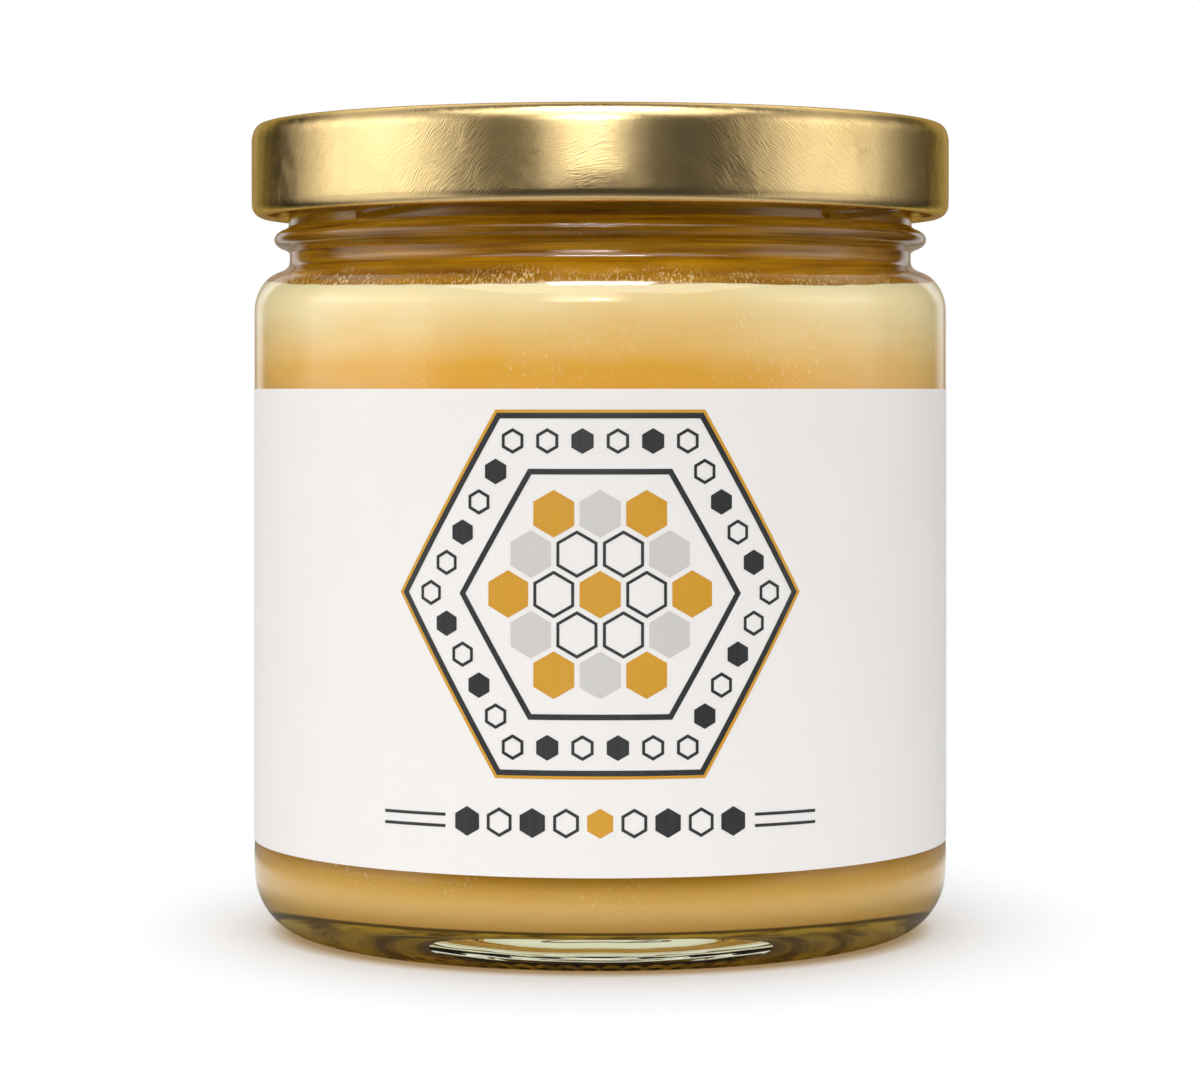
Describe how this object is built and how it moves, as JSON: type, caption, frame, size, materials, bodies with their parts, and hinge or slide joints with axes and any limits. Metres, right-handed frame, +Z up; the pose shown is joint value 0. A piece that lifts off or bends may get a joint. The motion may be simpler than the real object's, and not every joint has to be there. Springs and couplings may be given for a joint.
{
  "type": "honey jar",
  "caption": "Straight-sided glass jar filled with pale creamed honey, with a wrap-round paper label and a gold metal twist-off lid.",
  "frame": {"origin": "middle of the ring that the jar stands on, at floor height", "axes": "+Z up along the jar's axis, the label's middle faces -Y, +X to the right of someone looking at the label"},
  "size_m": [0.0738, 0.0738, 0.0848],
  "materials": {
    "clear_glass": "clear, polished flint glass with a faint green tint in the thick base",
    "creamed_honey": "opaque pale gold creamed honey, smooth and slightly glossy",
    "white_paper": null,
    "gold_lacquer": "satin gold lacquer over tinplate with fine hairlines"
  },
  "bodies": {
    "root": {"glass_jar": "clear_glass", "honey": "creamed_honey", "label": "white_paper", "lid": "gold_lacquer"}
  },
  "joints": []
}
